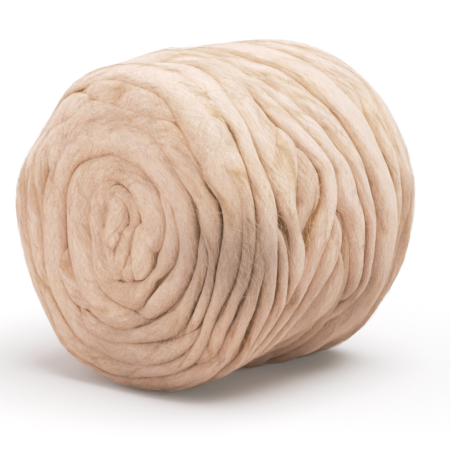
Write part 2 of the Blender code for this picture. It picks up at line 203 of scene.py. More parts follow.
SIDE_LAYS = (
    ("side_a", (
        (-165, 139, 161), (-100, 148, 170), (-60, 146, 168), (-50, 144, 166), (-44, 140, 164),
        (-36, 137, 161), (-29, 137, 158), (-22, 138, 158), (-14, 142, 156, -1), (-8, 144, 156, -1),
        (0, 145, 156, -1), (8, 147, 155, -2), (16, 150, 154, -5))),
    ("side_b", (
        (-30, 190, 196, -6), (-22, 191, 197, -3), (-16, 189, 198, -1), (-12, 188, 203),
        (-8, 185, 207), (-4, 183, 208), (0, 184, 205), (4, 183, 200), (8, 180, 198),
        (12, 176, 197), (18, 172, 198), (22, 169, 195), (26, 168, 193), (30, 168, 195),
        (33, 168, 197), (36, 169, 191), (40, 171, 188), (46, 174, 195), (51, 176, 203),
        (56, 180, 208), (66, 190, 214), (90, 188, 212), (150, 174, 198), (200, 164, 188),
        (260, 164, 188), (300, 168, 190), (312, 168, 184), (322, 163, 172), (330, 159, 172),
        (338, 157, 175), (345, 155, 174), (350, 153, 172), (356, 150, 171), (360, 147, 170, 1),
        (367, 148, 171, 1), (378, 150, 171, 1), (386, 150, 168, 1), (395, 152, 168, 1),
        (402, 156, 172, 1), (411, 155, 176, 1), (416, 155, 180, 1), (426, 157, 190, 1),
        (450, 157, 186, 1), (510, 152, 176), (570, 160, 182))),
    ("side_tip", (
        (0, 184, 200, -6), (8, 184, 200, -4), (16, 185, 201, -2), (20, 187, 203, -1),
        (24, 190, 209), (28, 194, 214), (30, 196, 216), (33, 199, 219), (36, 203, 218),
        (40, 208, 214, -1), (44, 211, 213, -3))),
    ("side_wedge", (
        (26, 191, 200, -6), (33, 192, 202, -5), (36, 191, 204, -4), (40, 189, 209, -4),
        (44, 193, 210, -4), (48, 199, 210, -4), (54, 206, 212, -4), (62, 208, 214, -5))),
    ("side_c", (
        (-70, 182, 198), (-50, 172, 188), (-38, 168, 186), (-30, 172, 188), (-22, 175, 192),
        (-15, 174, 189), (-4, 170, 183), (3, 170, 178, -3), (8, 169, 174, -7),
        (15, 168, 173, -10))),
    ("side_pocket", (
        (-10, 206, 214, -16), (-4, 206, 216, -16), (0, 205, 217, -15), (4, 205, 222, -13),
        (8, 206, 232, -11), (11, 208, 240, -9), (18, 209, 248, -6), (22, 210, 249, -4.5),
        (26, 212, 244, -3.5), (30, 214, 232, -3), (34, 217, 223, -4), (40, 217, 221, -6))),
    ("side_e", (
        (-60, 178, 200), (-50, 178, 200), (-40, 182, 198), (-34, 186, 200), (-28, 190, 209),
        (-22, 195, 216), (-16, 198, 222), (-10, 206, 227), (-6, 211, 230), (-2, 214, 237),
        (2, 218, 243), (7, 226, 248), (11, 231, 251, 1), (18, 235, 256, 1), (22, 235, 257, 1),
        (26, 231, 253, 1), (30, 226, 248, 1), (36, 218, 241, 1), (42, 212, 234, 1),
        (48, 208, 229, 1), (54, 209, 226), (66, 208, 226), (90, 210, 234), (150, 200, 224),
        (220, 188, 212), (300, 178, 200))),
    ("side_g", (
        (-34, 284, 290, -4), (-28, 281, 292, -2), (-22, 281, 296), (-16, 276, 296),
        (-10, 271, 294), (-2, 266, 293), (4, 264, 291), (8, 259, 288), (11, 253, 287),
        (16, 254, 284, 1), (22, 256, 279, 1), (28, 249, 269, 1), (33, 243, 266, 1),
        (38, 236, 263, 1), (43, 232, 252, 1), (48, 227, 249, 1), (54, 224, 240),
        (62, 222, 237, -2), (72, 218, 230, -4))),
    ("side_w", (
        (-60, 190, 208, -3), (-42, 196, 214), (-34, 202, 218), (-28, 209, 225), (-24, 214, 231),
        (-20, 219, 240), (-16, 222, 247), (-12, 225, 256), (-9, 227, 260), (-5, 233, 261),
        (0, 242, 258, -1), (4, 246, 255, -2), (8, 248, 252, -4), (12, 248, 252, -6))),
    ("side_w_low", (
        (-160, 216, 240), (-110, 210, 236), (-70, 204, 240, -2), (-48, 206, 250, -4),
        (-38, 214, 262, -3), (-32, 220, 274, -1), (-28, 226, 280), (-24, 232, 280),
        (-20, 240, 277), (-16, 247, 272), (-12, 254, 268, -1), (-9, 256, 265, -2),
        (-4, 257, 262, -4))),
    ("side_f", (
        (-46, 262, 280, -6), (-38, 266, 282, -4), (-33, 278, 292, -2), (-29, 286, 302, -1),
        (-23, 296, 308), (-14, 295, 308), (-8, 294, 307), (1, 292, 308), (9, 286, 305),
        (17, 283, 301), (22, 279, 300), (28, 268, 299), (33, 266, 297), (38, 264, 294),
        (43, 252, 292), (48, 250, 284), (54, 240, 282), (58, 240, 279), (63, 236, 275),
        (68, 222, 269), (75, 220, 262), (90, 226, 258), (150, 226, 250), (220, 212, 236),
        (300, 202, 226), (320, 214, 238, -4))),
    ("side_h", (
        (4, 338, 352, -2), (16, 337, 350), (26, 331, 352), (32, 331, 354), (38, 334, 357),
        (45, 339, 361), (52, 343, 365), (60, 333, 358), (66, 323, 350), (75, 318, 342),
        (90, 308, 332), (150, 304, 328), (220, 292, 316), (300, 284, 314), (310, 281, 320),
        (318, 282, 330, 1), (323, 288, 336, 1), (328, 296, 342, 2), (334, 304, 345, 2),
        (346, 307, 346, 2), (352, 307, 345, 2), (362, 307, 343, 2), (370, 304, 340, 2),
        (376, 302, 336, 2), (386, 299, 330, 2), (392, 297, 330, 2), (398, 294, 329, 2),
        (404, 291, 326, 2), (410, 284, 323, 2), (416, 281, 322, 2), (422, 276, 320, 2),
        (428, 269, 316, 2), (435, 263, 311, 2), (450, 258, 298, 2), (470, 256, 284, 1),
        (510, 254, 278), (580, 240, 264), (640, 236, 260, -2), (665, 240, 262, -5))),
    ("side_i", (
        (34, 328, 332, -4), (40, 327, 334, -2), (45, 325, 338, -1), (50, 323, 342), (56, 322, 339),
        (59, 321, 334), (62, 320, 331), (68, 316, 328, -2), (76, 312, 324, -4))),
    ("side_n", (
        (72, 296, 318, -4), (90, 294, 314), (120, 288, 310), (150, 280, 304), (220, 266, 290),
        (296, 256, 280))),
    ("side_j", (
        (-100, 318, 342), (-60, 333, 357), (-30, 346, 370), (-10, 350, 374), (10, 354, 375),
        (20, 349, 373), (35, 354, 378), (50, 362, 386), (70, 346, 370), (90, 331, 356),
        (150, 328, 352), (220, 316, 340), (266, 306, 330))),
    ("side_k", (
        (-130, 340, 364), (-60, 358, 382), (0, 374, 398), (60, 378, 402), (90, 356, 382),
        (150, 352, 378), (236, 338, 362))),
    ("side_m", (
        (60, 396, 416, -2), (90, 382, 404), (150, 378, 400), (230, 366, 388),
        (300, 372, 394, -2))),
    ("side_hollow", (
        (-70, 322, 346, -5), (-40, 330, 352, -4), (-20, 336, 358, -4), (0, 338, 360, -4),
        (14, 338, 358, -3.5), (28, 340, 358, -4), (40, 344, 358, -6))),
    ("side_under", (
        (-80, 236, 272, -6), (-50, 244, 286, -7), (-30, 248, 290, -8), (-10, 246, 276, -9),
        (6, 246, 268, -9), (18, 246, 262, -9))),
    ("back_cross_a", (
        (102, 178, 202, -4), (118, 189, 213, 2), (150, 212, 236, 4), (190, 250, 274, 4),
        (212, 276, 300, 2), (230, 297, 321, -4))),
    ("back_cross_b", (
        (118, 325, 349, -4), (134, 314, 338, 2), (170, 288, 312, 3.5), (205, 250, 274, 3.5),
        (226, 230, 254, 2), (246, 210, 234, -4))),
)
# The crumpled start of the roving in the middle of the near end.
# Columns: fold, lift, then (x, z, width) along it, all in mm from the axis.
CENTRE_FOLDS = (
    ("under_fold", -3, (
        (10, 50, 26), (8, 34, 40), (3, 14, 52), (-1, -8, 56), (0, -30, 50), (6, -46, 34))),
    ("inner_corner", -0.9, (
        (-26, -4, 6), (-25, -14, 11), (-23, -25, 13), (-17, -33, 13), (-8, -38, 11), (2, -41, 7))),
    ("coil_start", -0.9, (
        (-22, 14, 6), (-18, 25, 9), (-11, 32, 10), (-1, 36, 10), (8, 32.5, 10), (15, 25, 11),
        (18, 15, 11), (16, 6, 10), (10, -1, 6))),
    ("inner_left", -1.0, (
        (-19, 8, 6), (-17.5, -4, 10), (-14, -15, 12), (-9, -25, 12), (-2, -33, 11), (6, -39, 8))),
    ("inner_foot", -1.6, (
        (14, -10, 8), (12.5, -20, 15), (10, -30, 19), (8, -40, 16), (8, -46, 10))),
    ("inner_strand", 0, (
        (15, 10, 6), (12, 2, 11), (8, -6, 13), (4.5, -14, 14), (1, -22, 14), (-1, -30, 12),
        (-1, -38, 8))),
    ("inner_ball", 0.6, (
        (1, 35, 10), (-1, 27, 21), (-3, 17, 28), (-5, 7, 28), (-8, -3, 22), (-10, -12, 14),
        (-10, -20, 8))),
    ("right_strand", 1.2, (
        (31, 14, 10), (28, 4, 17), (27, -6, 25), (26.5, -15, 28), (26, -24, 24), (22, -33, 16),
        (17, -40, 8))),
)
FAR_TURNS = 7  # turns of the coil on the far end
FAR_COIL_PLACE = 398.0  # mm, where that coil meets the side lays
FAR_COIL_LAP = 1.15  # width of its lays over their pitch
FAR_COIL_HEART = 13.0  # mm from the middle to the coil's first turn
FAR_COIL_SWAY = (2.5, 4.8)  # mm that its turns wander, and radians of that for a turn
FAR_COIL_STEP = 45  # degrees from one station to the next
FAR_HEART = ("far_heart", -0.3, ((-15, -12, 6), (-10, -9, 16), (-3, -3, 25), (4, 3, 26),
                                 (10, 9, 17), (14, 14, 6)))
# Lays over that coil.  Columns: lay, width, lift, then (angle, mm from the middle) along it.
FAR_OVER_LAYS = (
    ("far_over_a", 18, 1, ((20, 12), (80, 26), (140, 38))),
    ("far_over_b", 21, 1, ((180, 48), (250, 62), (320, 78))),
    ("far_over_c", 22, 1, ((40, 88), (120, 98), (210, 118))),
)
# Painted shade: places where the wool is painted darker and greyer, because the ball lies in shade
# there.
# Columns: angle, place (mm), reach (mm), how much, from 0 to 1.
PAINTED_SHADE_SPOTS = (
    (-4, 142, 38, 0.90),  # the near rim, towards the camera
    (-6, 92, 42, 0.70),  # the face beside it
    (-60, 100, 48, 0.35),
    (-92, 132, 60, 0.55),  # the foot of the face
    (-24, 228, 24, 0.35),  # low on the side
    (-30, 305, 45, 0.55),
)
# The ball's own unevenness.
# Columns: angle, place (mm), reach in angle, reach in place (mm), height (mm).
LUMPS = (
    (143, 142, 14, 20, -8),  # slumped shoulder of the near rim
    (172, 128, 18, 22, 4),
    (238, 138, 15, 20, 6),
    (-85, 140, 22, 18, 4),  # sag under the near rim
    (97, 182, 15, 17, -8),  # dip behind the near rim, on top
    (94, 212, 12, 12, 3),
    (-63, 230, 15, 34, -13),  # hollow between two lays low on the side
    (-46, 325, 16, 24, 5),
    (-18, 367, 24, 16, -13),  # slack far rim
    (8, 368, 16, 14, 3),
)


# --- the ball's surface ---
def sum_so_far(steps):
    """The sums before each step and after the last."""
    return np.concatenate(([0.0], np.cumsum(steps)))


def outline(count=3000):
    """The plain barrel's outline: place, radius and position along the axis, in mm."""
    turn = np.linspace(-math.pi / 2, math.pi / 2, count)
    power = 2 / SQUARENESS
    radius = BALL_RADIUS * np.abs(np.cos(turn)) ** power
    along = BALL_LENGTH / 2 * np.sign(np.sin(turn)) * np.abs(np.sin(turn)) ** power
    place = sum_so_far(np.hypot(np.diff(radius), np.diff(along)))
    return place, radius, along


ARC, RADIUS, ALONG = outline()
# This grows with the ball's area from the near end out to each place.
AREA = sum_so_far(np.diff(ARC) * RADIUS[1:])


def unevenness(angle, place):
    """Height of the ball's lumps and hollows at a place, in mm."""
    height = np.zeros(np.broadcast(angle, place).shape)
    for turn, spot, angle_reach, place_reach, rise in LUMPS:
        around = (angle - turn + 180) % 360 - 180
        away = (around / angle_reach) ** 2 + ((place - spot) / place_reach) ** 2
        height += rise * np.exp(-away)
    return height


def on_ball(angle, place, height):
    """The point at a height (mm) over a place on the ball, in metres."""
    height = height + unevenness(angle, place)
    beyond = np.maximum(np.maximum(-place, place - ARC[-1]), 0)  # mm past the middle of an end
    place = np.clip(place, 0, ARC[-1])
    # How the outline runs over the 4 mm round that place.
    rise = np.interp(place + 2, ARC, RADIUS) - np.interp(place - 2, ARC, RADIUS)
    run = np.interp(place + 2, ARC, ALONG) - np.interp(place - 2, ARC, ALONG)
    size = np.hypot(rise, run)
    out = np.interp(place, ARC, RADIUS) - beyond + height * run / size
    forward = np.interp(place, ARC, ALONG) - height * rise / size
    turn = np.radians(angle)
    x = out * np.cos(turn) - MIDDLE[0]
    y = forward - MIDDLE[1]
    z = out * np.sin(turn) + BALL_RADIUS - FLAT_DEPTH
    return np.stack((x, y, np.maximum(z, 0.0)), axis=-1) / 1000


def painted_shade_amount(points):
    """How much painted shade each point gets, darkening and greying the wool, from 0 to 1."""
    shade_amount = np.zeros(len(points))
    for angle, place, reach, amount in PAINTED_SHADE_SPOTS:
        middle = on_ball(angle, place, 0.0)
        away = np.linalg.norm(points - middle, axis=1) * 1000 / reach
        shade_amount += amount * np.exp(-away ** 2)
    return np.minimum(shade_amount, 1)


# --- smooth chance ---
def ripple(x, y, seed):
    """Smooth random heights from -1 to 1, a new one for each unit of x and of y."""
    size = 64  # units after which it repeats
    grid = np.random.default_rng(seed).uniform(-1, 1, (size, size))
    column, row = np.floor(x).astype(int), np.floor(y).astype(int)
    s, t = x - column, y - row
    s, t = s * s * (3 - 2 * s), t * t * (3 - 2 * t)
    left, right = column % size, (column + 1) % size
    low, high = row % size, (row + 1) % size
    near = grid[left, low] * (1 - s) + grid[right, low] * s
    far = grid[left, high] * (1 - s) + grid[right, high] * s
    return near * (1 - t) + far * t


def changing(u, change, seed):
    """A smooth random change along a lay, from a (how much, over how many mm) pair."""
    amount, length = change
    return amount * ripple(u / length, u * 0, seed)


# --- a lay ---
def smooth_run(stations, at):
    """Values at the given angles on smooth curves through the columns of some stations."""
    table = np.array(stations, float)
    x = table[:, 0]
    slope = np.gradient(table, x, axis=0)
    k = np.clip(np.searchsorted(x, at) - 1, 0, len(x) - 2)
    span = (x[k + 1] - x[k])[:, None]
    t = np.clip((at - x[k])[:, None] / span, 0, 1)
    a = (1 + 2 * t) * (1 - t) ** 2
    b = t * (1 - t) ** 2
    c = t ** 2 * (3 - 2 * t)
    d = t ** 2 * (t - 1)
    curve = a * table[k] + b * span * slope[k] + c * table[k + 1] + d * span * slope[k + 1]
    return curve[:, 1:]


def ring_angles(top_points):
    """The angles round a lay's section at which it has points, closer together outside."""
    top = np.linspace(90 - TOP_SPREAD / 2, 90 + TOP_SPREAD / 2, top_points)
    gap = (360 - TOP_SPREAD) / (UNDER_POINTS + 1)
    under = top[-1] + gap * np.arange(1, UNDER_POINTS + 1)
    return np.radians(np.concatenate((top, under)))


def section(across, up, half_width, half_height, u, form, seed):
    """One ring for each row of a lay.

    Gives the offsets across and up (mm), how far round each point is (mm), and how deep it is
    in a crease, from 0 on the crown to 2 underneath.
    """
    ring = ring_angles(form.top_points)
    cos, sin = np.cos(ring), np.sin(ring)
    side = np.sign(cos) * np.abs(cos) ** (2 / form.squareness)
    rise = np.sign(sin) * np.abs(sin) ** (2 / form.squareness)
    girth = 0.5 * (half_width + half_height)
    reach = min(GIRTH_RUN, len(u) - 1) // 2
    girth = np.convolve(np.pad(girth, reach, mode="edge"), np.ones(2 * reach + 1), "valid")
    round_place = (ring - math.pi / 2) * girth[:, None] / (2 * reach + 1)
    row = u[:, None] + 0 * ring[None, :]
    slant = round_place - math.tan(TWIST) * row
    folds = 0
    for number, (height, length, width) in enumerate(SOFT_FOLDS):
        folds = folds + height * ripple(row / length, slant / width, seed + 1 + number)
    line = ripple(row / CREASE_LENGTH, slant / CREASE_GAP, seed + 6)
    strength, change, length, width = CREASE_FADE
    fade = np.clip(strength + change * ripple(row / length, slant / width, seed + 7), 0, 1)
    crease = fade * np.exp(-(line / CREASE_WIDTH) ** 2)
    folds = (folds - CREASE_DEPTH * crease) * np.minimum(half_width / NARROW_LAY, 1)[:, None]
    half_width, half_height = half_width[:, None], half_height[:, None]
    lean = np.hypot(cos / half_width, sin / half_height)
    offset = across[:, None] + half_width * side + folds * cos / half_width / lean
    height = up[:, None] + half_height * rise + folds * sin / half_height / lean
    # The last value sets the painted crease shade.
    return offset, height, round_place, np.maximum(1 - sin, CREASE_TINT * crease)


def nearness(angle, spread):
    """How near each angle is to the middle of a (middle, reach) pair, from 0 to 1."""
    middle, reach = spread
    away = ((angle - middle + 180) % 360 - 180) / reach
    return np.exp(-away ** 2)


def lay_rows(path, form, tucked, seed):
    """The points of a lay, a ring for each row, with where each lies along and round it.

    path gives, for an even run of stations, the angle, place, half width and lift, and the two
    parts of the unit step along the lay, round the ball and along its outline.
    """
    u, angle, place, half_width, lift, round_step, place_step = path
    dive = np.zeros(len(u))
    if tucked:
        for run in (u, u[-1] - u):
            dive = np.maximum(dive, 1 - run / TUCK_LENGTH)
            half_width = half_width * np.sqrt(np.clip(run / TAPER_LENGTH, BLUNT, 1))
    half_width = half_width * (1 + changing(u, WIDTH_CHANGE, seed + 3))
    fullness = np.minimum(half_width / NARROW_LAY, 1)
    half_width = half_width + changing(u, LAP_CHANGE, seed + 8) * fullness
    wide, share = MOST_THICK
    half_height = np.minimum(form.thickness * 2 * half_width,
                             form.thickness * wide + share * half_width)
    half_height = half_height * (1 + LOOSE_ROUND * nearness(angle, LOOSE))
    up = lift - TUCK_DEPTH * dive ** 1.5 - half_height
    up += changing(u, RISE_CHANGE, seed + 4)
    across = changing(u, SIDE_CHANGE, seed + 5)
    offset, height, round_place, flank = section(across, up, half_width, half_height, u, form, seed)
    radius = np.maximum(np.interp(place, ARC, RADIUS), LAY_POLE)[:, None]
    at = angle[:, None] - np.degrees(offset * place_step[:, None] / radius)
    spot = place[:, None] + offset * round_step[:, None]
    along = np.broadcast_to(u[:, None], round_place.shape)
    return on_ball(at, spot, height), along, round_place, flank


def wound_path(stations, step):
    """An even run of stations along a lay that is given by its two edges."""
    stations = [(*spot, 0)[:4] for spot in stations]
    start, end = stations[0][0], stations[-1][0]
    fine = np.linspace(start, end, int((end - start) * 4))  # four a degree
    near, far, lift = smooth_run(stations, fine).T
    place = (near + far) / 2
    round_move = np.radians(np.diff(fine)) * np.interp((place[1:] + place[:-1]) / 2, ARC, RADIUS)
    length = sum_so_far(np.hypot(round_move, np.diff(place)))
    u = np.linspace(0, length[-1], int(length[-1] / step) + 2)
    angle = np.interp(u, length, fine)
    middle = np.interp(u, length, place)
    half_width = np.interp(u, length, (far - near) / 2) + LAP
    half_width -= LOOSE_LAP * nearness(angle, LOOSE)
    half_width += TIGHT_LAP * nearness(angle, TIGHT)
    rise = np.interp(u, length, lift)
    place_step = np.gradient(middle, u)
    round_step = np.sqrt(np.clip(1 - place_step ** 2, 0.05, 1))  # never quite 0
    return u, angle, middle, half_width, rise, round_step, place_step


def flat_rows(fold, form, seed, far=False):
    """A short fold in the middle of the near or far end, given by points across its flat face."""
    _, lift, spots = fold
    table = [(k * 10.0, *spot) for k, spot in enumerate(spots)]  # even gaps, of any size
    fine = np.linspace(0, table[-1][0], 80)  # enough to measure its length
    x, z, width = smooth_run(table, fine).T
    length = sum_so_far(np.hypot(np.diff(x), np.diff(z)))
    u = np.linspace(0, length[-1], int(length[-1] / form.step) + 2)
    x, z, width = (np.interp(u, length, values) for values in (x, z, width))
    step_x, step_z = np.gradient(x, u), np.gradient(z, u)
    run = np.minimum(u, u[-1] - u)
    fullness = np.sqrt(np.clip(run / FOLD_TAPER, BLUNT, 1))
    half_width = (width / 2 + FOLD_LAP) * fullness
    half_height = form.thickness * width * fullness
    depth, reach = FOLD_TUCK
    up = lift - depth * np.clip(1 - run / reach, 0, 1) ** 2 - half_height
    offset, height, round_place, flank = section(0 * u, up, half_width, half_height, u, form, seed)
    px = x[:, None] - offset * step_z[:, None]
    pz = z[:, None] + offset * step_x[:, None]
    angle, place = np.degrees(np.arctan2(pz, px)), np.hypot(px, pz)
    if far:
        angle, place = 180 - angle, ARC[-1] - place
    points = on_ball(angle, place, height)
    along = np.broadcast_to(u[:, None], round_place.shape)
    return points, along, round_place, flank


# --- meshes ---
def placed(name, data):
    """A new object in the scene."""
    thing = bpy.data.objects.new(name, data)
    bpy.context.scene.collection.objects.link(thing)
    return thing


def rings_to_faces(rows, ring, first):
    """Quads between neighbouring rings, and a fan over each end, numbered from first."""
    i = np.arange(rows - 1)[:, None] * ring
    j = np.arange(ring)[None, :]
    k = (j + 1) % ring
    quads = np.stack((i + j, i + k, i + ring + k, i + ring + j), axis=-1).reshape(-1, 4) + first
    start, end = first + rows * ring, first + rows * ring + 1
    last = first + (rows - 1) * ring
    near_cap = [(start, first + (n + 1) % ring, first + n) for n in range(ring)]
    far_cap = [(end, last + n, last + (n + 1) % ring) for n in range(ring)]
    return quads.tolist() + near_cap + far_cap


def roving_piece(name, strands, material):
    """One object from the rings of several strands, with where each point lies on its lay."""
    points, faces, places, flanks, shade_amounts = [], [], [], [], []
    first = 0
    for number, (grid, along, round_place, flank) in enumerate(strands):
        rows, ring = along.shape
        ends = np.stack((grid[0].mean(axis=0), grid[-1].mean(axis=0)))
        points.append(np.concatenate((grid.reshape(-1, 3), ends)))
        own = 37.0 * number + 11.0 * len(name)  # so that each lay has a pattern of its own
        lay = np.stack((along, round_place, along * 0 + own), axis=-1)
        tips = np.stack((lay[0].mean(axis=0), lay[-1].mean(axis=0)))
        places.append(np.concatenate((lay.reshape(-1, 3), tips)) / 1000)
        # How far down a flank each point is; it sets the painted crease shade.
        flanks.append(np.concatenate((flank.reshape(-1), (CAP_FLANK, CAP_FLANK))))
        # How much painted shade each point gets.
        shade_amounts.append(painted_shade_amount(points[-1]))
        faces += rings_to_faces(rows, ring, first)
        first += rows * ring + 2
    mesh = bpy.data.meshes.new(name)
    mesh.from_pydata(np.concatenate(points), [], faces)
    lay = mesh.attributes.new("lay", 'FLOAT_VECTOR', 'POINT')
    lay.data.foreach_set("vector", np.concatenate(places).astype(np.float32).ravel())
    for label, values in (("flank", flanks), ("shade_amount", shade_amounts)):
        values = np.concatenate(values).astype(np.float32)
        mesh.attributes.new(label, 'FLOAT', 'POINT').data.foreach_set("value", values)
    mesh.shade_smooth()
    mesh.materials.append(material)
    piece = placed(name, mesh)
    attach(piece, "root")
    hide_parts("roving_ball")


# --- materials ---
def new_material(name):
    """A node material with an empty tree apart from its shader and output."""
    material = bpy.data.materials.new(name)
    material.use_nodes = True
    tree = material.node_tree
    return material, tree, tree.nodes["Principled BSDF"]


def join(tree, value, socket):
    """Link a socket's value to an input, or set the input to a number or colour."""
    if isinstance(value, bpy.types.NodeSocket):
        tree.links.new(value, socket)
    else:
        socket.default_value = value


def maths(tree, operation, a, b):
    """The outcome of a Math node for two values, each a number or a socket."""
    node = tree.nodes.new("ShaderNodeMath")
    node.operation = operation
    join(tree, a, node.inputs[0])
    join(tree, b, node.inputs[1])
    return node.outputs[0]


def blended(tree, mode, factor, a, b):
    """Two colours blended; the factor and each colour are values or sockets."""
    node = tree.nodes.new("ShaderNodeMix")
    node.data_type = 'RGBA'
    node.blend_type = mode
    join(tree, factor, node.inputs["Factor"])
    # Inputs 6 and 7 and output 2 are the ones for colours.
    join(tree, a, node.inputs[6])
    join(tree, b, node.inputs[7])
    return node.outputs[2]


def weighted(tree, *terms):
    """The sum of (source, weight) terms."""
    parts = [maths(tree, 'MULTIPLY', source, weight) for source, weight in terms]
    total = parts[0]
    for part in parts[1:]:
        total = maths(tree, 'ADD', total, part)
    return total


def point_value(tree, name, output="Fac"):
    """A value that the mesh carries for each of its points."""
    node = tree.nodes.new("ShaderNodeAttribute")
    node.attribute_name = name
    return node.outputs[output]


def stretched_noise(tree, source, scale, detail, shift=0.0):
    """Noise that changes scale times in a metre along each axis of its source."""
    mapping = tree.nodes.new("ShaderNodeMapping")
    mapping.inputs["Scale"].default_value = scale
    mapping.inputs["Location"].default_value = (shift,) * 3
    noise = tree.nodes.new("ShaderNodeTexNoise")
    noise.inputs["Scale"].default_value = 1.0
    noise.inputs["Detail"].default_value = detail
    noise.inputs["Roughness"].default_value = 0.55
    tree.links.new(source, mapping.inputs["Vector"])
    tree.links.new(mapping.outputs["Vector"], noise.inputs["Vector"])
    return noise.outputs["Fac"]


def ramp(tree, source, stops):
    """A colour ramp over a source, from (position, colour) stops."""
    node = tree.nodes.new("ShaderNodeValToRGB")
    elements = node.color_ramp.elements
    while len(elements) < len(stops):
        elements.new(0.5)
    for element, (position, colour) in zip(elements, stops):
        element.position = position
        element.color = (*colour, 1.0)
    tree.links.new(source, node.inputs["Fac"])
    return node.outputs["Color"]


# Colours: the wool, the painted shade it is multiplied by, its sheen, and the stray fibres.
WOOL_PALE = (0.81, 0.57, 0.455)
WOOL_MIDDLE = (0.71, 0.475, 0.36)
WOOL_TAN = (0.60, 0.38, 0.272)
# Painted shade: darker, greyer wool where the ball lies in shade.
PAINTED_SHADE_GREY = (0.605, 0.62, 0.605)  # where it is greyest
TINT_YELLOW = (1.0, 0.985, 0.95)
TINT_PINK = (1.0, 0.985, 1.0)
# Painted crease shade: yellower towards each flank, warm and dark deep in a crease.
CROWN_PINK = (1.0, 1.0, 1.02)
FLANK_SHADE_YELLOW = (1.0, 0.945, 0.89)
PAINTED_CREASE_SHADE = (0.53, 0.455, 0.265, 1.0)
SHEEN_WARM = (1.0, 0.88, 0.76, 1.0)
STRAY_PALE = (0.79, 0.61, 0.47)
STRAY_TAN = (0.60, 0.42, 0.31)
WOBBLE = 0.0022  # m that the fibres wander sideways


def fibre_places(tree, lean):
    """Places along and round a lay, turned by a lean and waved, so that fibres wander."""
    lay = point_value(tree, "lay", "Vector")
    turned = tree.nodes.new("ShaderNodeVectorRotate")
    turned.rotation_type = 'Z_AXIS'
    turned.inputs["Angle"].default_value = -lean
    tree.links.new(lay, turned.inputs["Vector"])
    wave = stretched_noise(tree, lay, (45, 50, 60), 1.0, 5.2)
    shift = tree.nodes.new("ShaderNodeCombineXYZ")
    tree.links.new(maths(tree, 'MULTIPLY', wave, WOBBLE * 2), shift.inputs["Y"])
    waved = tree.nodes.new("ShaderNodeVectorMath")
    waved.operation = 'ADD'
    tree.links.new(turned.outputs["Vector"], waved.inputs[0])
    tree.links.new(shift.outputs["Vector"], waved.inputs[1])
    return waved.outputs["Vector"]


def roving_wool():
    """Combed wool: fine fibres along each lay, soft bands of tone, painted warm shade in the
    creases and in patches.
    """
    material, tree, shader = new_material("roving_wool")
    lay = fibre_places(tree, TWIST)
    crossing = fibre_places(tree, CROSS_TWIST)
    spot = tree.nodes.new("ShaderNodeTexCoord").outputs["Object"]
    fine = stretched_noise(tree, lay, (95, 1400, 60), 2.0)
    strand = stretched_noise(tree, lay, (42, 560, 60), 2.0, 3.1)
    cross = stretched_noise(tree, crossing, (70, 800, 60), 2.0, 4.3)
    band = stretched_noise(tree, lay, (14, 150, 60), 2.0, 7.7)
    felt = stretched_noise(tree, spot, (1200,) * 3, 2.0, 2.9)
    cloud = stretched_noise(tree, spot, (16,) * 3, 2.0, 1.3)
    short = stretched_noise(tree, crossing, (420, 900, 200), 1.0, 6.1)
    tone = weighted(tree, (fine, 0.22), (strand, 0.14), (cross, 0.15), (band, 0.09), (felt, 0.20),
                    (short, 0.16), (cloud, 0.04))
    colour = ramp(tree, tone, ((0.40, WOOL_TAN), (0.50, WOOL_MIDDLE), (0.60, WOOL_PALE)))
    tint = ramp(tree, cloud, ((0.36, TINT_YELLOW), (0.5, (1, 1, 1)), (0.64, TINT_PINK)))
    colour = blended(tree, 'MULTIPLY', 1.0, colour, tint)
    # Painted shade: darker, greyer wool in patches where the ball lies in shade.
    shade = ramp(tree, point_value(tree, "shade_amount"), ((0.0, (1, 1, 1)), (1.0, PAINTED_SHADE_GREY)))
    colour = blended(tree, 'MULTIPLY', 1.0, colour, shade)
    # Painted crease shade: yellower towards each flank, then warm and dark deep in a crease.
    edge = ramp(tree, point_value(tree, "flank"), ((0.0, CROWN_PINK), (0.42, FLANK_SHADE_YELLOW)))
    colour = blended(tree, 'MULTIPLY', 1.0, colour, edge)
    crease_shade_mask = ramp(tree, point_value(tree, "flank"), ((0.20, (0, 0, 0)), (0.38, (0.3, 0.3, 0.3)),
                                                   (0.56, (1, 1, 1))))
    colour = blended(tree, 'MULTIPLY', crease_shade_mask, colour, PAINTED_CREASE_SHADE)
    tree.links.new(colour, shader.inputs["Base Color"])
    relief = weighted(tree, (fine, 0.33), (strand, 0.32), (cross, 0.26), (band, 0.2), (felt, 0.4),
                      (short, 0.28))
    bump = tree.nodes.new("ShaderNodeBump")
    bump.inputs["Strength"].default_value = 1.0
    bump.inputs["Distance"].default_value = 0.0012
    tree.links.new(relief, bump.inputs["Height"])
    tree.links.new(bump.outputs["Normal"], shader.inputs["Normal"])
    shader.inputs["Roughness"].default_value = 0.95
    shader.inputs["Specular IOR Level"].default_value = 0.2
    shader.inputs["Sheen Weight"].default_value = 0.35
    shader.inputs["Sheen Tint"].default_value = SHEEN_WARM
    shader.inputs["Sheen Roughness"].default_value = 0.5
    return material


def stray_wool():
    """Single fibres, paler than the wool under them, each a little different along its length."""
    material, tree, shader = new_material("stray_wool")
    tone = stretched_noise(tree, point_value(tree, "lay", "Vector"), (60, 900, 60), 2.0)
    colour = ramp(tree, tone, ((0.35, STRAY_TAN), (0.6, STRAY_PALE)))
    tree.links.new(colour, shader.inputs["Base Color"])
    shader.inputs["Roughness"].default_value = 0.9
    shader.inputs["Specular IOR Level"].default_value = 0.3
    return material


# --- stage ---
CAMERA_AZIMUTH = 40.3  # degrees from -Y towards +X
CAMERA_ELEVATION = 11.0
CAMERA_DISTANCE = 2.0  # m
CAMERA_TARGET = (0.0, 0.0, 0.146)
CAMERA_LENS = 174.7  # mm
CAMERA_SHIFT = (0.0164, -0.0336)
